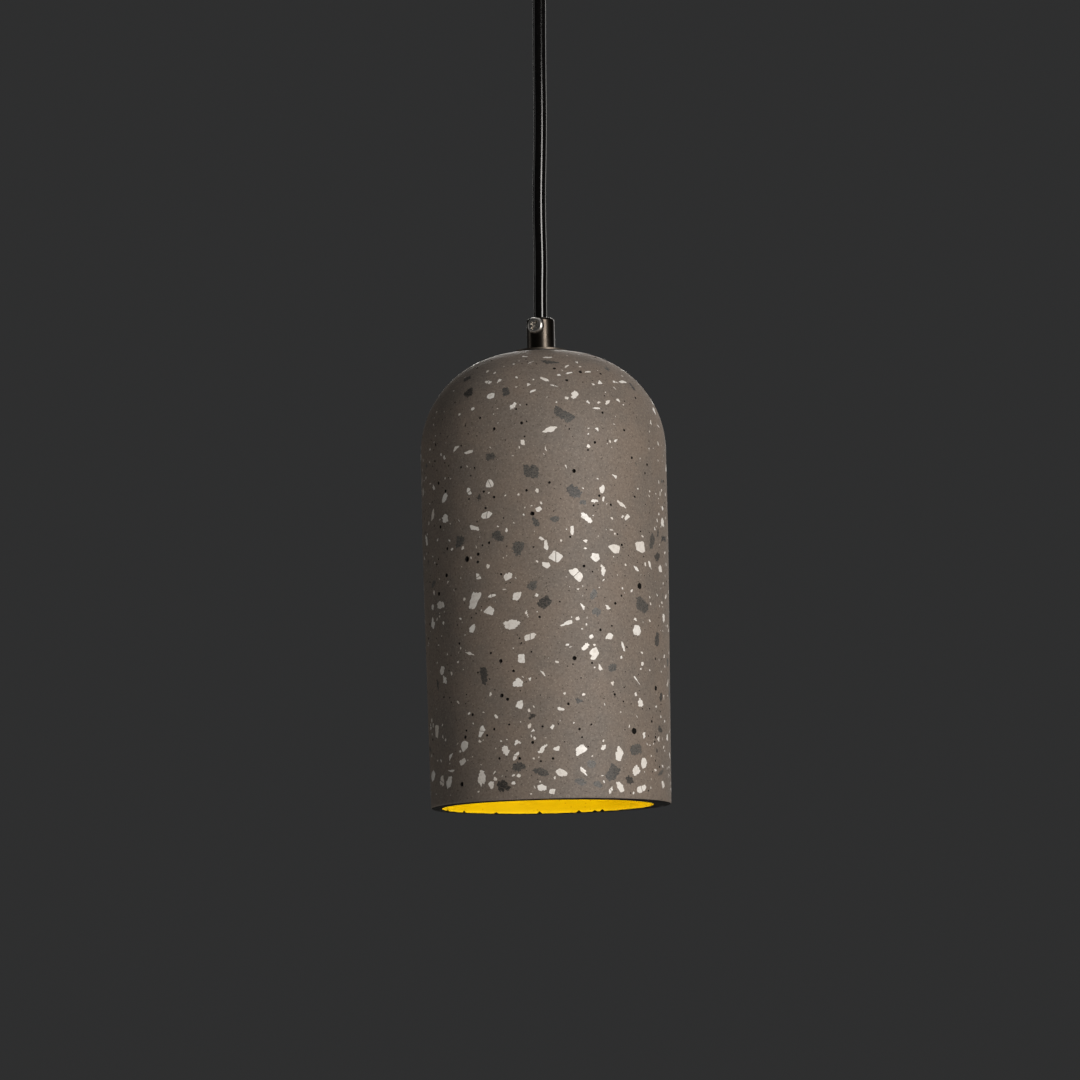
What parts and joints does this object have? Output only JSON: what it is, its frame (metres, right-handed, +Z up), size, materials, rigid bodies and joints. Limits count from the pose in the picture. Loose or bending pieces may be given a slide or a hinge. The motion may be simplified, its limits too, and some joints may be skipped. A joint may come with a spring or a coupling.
{
  "type": "pendant ceiling light",
  "caption": "Pendant ceiling light: a domed terrazzo-concrete cylinder shade, yellow inside, hung by its cord grip on a short round black cord from a ceiling rose.",
  "frame": {"origin": "on the ceiling plane, at the centre of the ceiling rose", "axes": "+Z up into the ceiling, +X along the strap bracket and its two ceiling holes, -Y towards the clamp screws"},
  "size_m": [0.12, 0.12, 0.445],
  "materials": {
    "terrazzo_concrete": "honed, matte, with marble chips",
    "yellow_paint": "matte paint inside the shade",
    "black_coat": "satin powder coat",
    "black_nickel": "dark polished plating",
    "nickel_screw": "bright nickel",
    "zinc_steel": "zinc plated",
    "brass": "plain",
    "tinned_copper": "tinned",
    "nickel_cap": "nickel plated",
    "black_cord": "glossy PVC sheath",
    "core_brown": "PVC",
    "core_blue": "PVC",
    "core_green": "PVC with a yellow stripe",
    "black_rubber": "matte",
    "black_phenolic": "moulded",
    "white_plastic": "moulded",
    "ceramic": "unglazed",
    "black_glass": "opaque",
    "opal_globe": "frosted diffuser",
    "board_white": "solder mask",
    "board_green": "solder mask",
    "led_yellow": "phosphor"
  },
  "bodies": {
    "root": {"mounting_bracket": "zinc_steel", "ceiling_rose": "black_coat", "rose_side_screws": "nickel_screw", "terminal_block": "white_plastic", "terminal_sleeves": "brass", "terminal_screws": "zinc_steel", "block_screw": "zinc_steel", "earth_ring_terminal": "tinned_copper", "earth_screw": "zinc_steel", "upper_cord_grip": "black_nickel", "upper_clamp_screw": "nickel_screw", "upper_threaded_rod": "zinc_steel", "upper_locknut": "zinc_steel", "upper_cord_tail": "black_cord", "upper_live_wire": "core_brown", "upper_neutral_wire": "core_blue", "upper_earth_wire": "core_green"},
    "cord_top": {"cord_upper_bend": "black_cord"},
    "cord": {"cord": "black_cord"},
    "cord_foot": {"cord_lower_end": "black_cord"},
    "cord_joint": {"cord_lower_bend": "black_cord"},
    "lamp": {"lower_cord_grip": "black_nickel", "lower_clamp_screw": "nickel_screw", "lower_threaded_rod": "zinc_steel", "crown_gasket": "black_rubber", "crown_flange": "black_nickel", "crown_washer": "zinc_steel", "crown_nut": "zinc_steel", "shade": "terrazzo_concrete", "lower_cord_tail": "black_cord", "lower_live_wire": "core_brown", "lower_neutral_wire": "core_blue", "lower_earth_wire": "core_green", "holder_cap": "black_coat", "holder_body": "black_phenolic", "holder_insert": "ceramic", "holder_shell": "brass", "holder_centre_contact": "brass", "holder_terminals": "brass", "holder_terminal_screws": "zinc_steel", "holder_earth_terminal": "brass"},
    "bulb_front": {"bulb_globe": "opal_globe"},
    "bulb": {"bulb_cap": "nickel_cap", "bulb_cap_insulator": "black_glass", "bulb_tip_contact": "tinned_copper", "bulb_housing": "white_plastic", "bulb_led_board": "board_white", "bulb_leds": "led_yellow", "bulb_driver_board": "board_green"}
  },
  "joints": [
    {"name": "swing_front_back", "type": "hinge", "parent": "root", "child": "cord_top", "pos_m": [0, 0, -0.0413], "axis": [1, 0, 0], "range_deg": [-15, 15]},
    {"name": "swing_side", "type": "hinge", "parent": "cord_top", "child": "cord", "pos_m": [0, 0, -0.0413], "axis": [0, 1, 0], "range_deg": [-15, 15]},
    {"name": "cord_twist", "type": "hinge", "parent": "cord", "child": "cord_foot", "pos_m": [-0.003, 0, -0.205], "axis": [0, 0, 1], "range_deg": [-90, 90], "stiffness_Nm_per_rad": 0.02},
    {"name": "tilt_front_back", "type": "hinge", "parent": "cord_foot", "child": "cord_joint", "pos_m": [-0.003, 0, -0.205], "axis": [1, 0, 0], "range_deg": [-10, 10]},
    {"name": "tilt_side", "type": "hinge", "parent": "cord_joint", "child": "lamp", "pos_m": [-0.003, 0, -0.205], "axis": [0, 1, 0], "range_deg": [-10, 10]},
    {"name": "bulb_travel", "type": "slide", "parent": "lamp", "child": "bulb_front", "axis": [0, 0, -1], "range_m": [0, 0.0254]},
    {"name": "bulb_turn", "type": "hinge", "parent": "bulb_front", "child": "bulb", "pos_m": [-0.003, 0, -0.303], "axis": [0, 0, -1], "range_deg": [0, 2520]}
  ],
  "couplings": [
    {"joint": "bulb_turn", "follows": "bulb_travel", "rad_per_m": 1731.4}
  ]
}
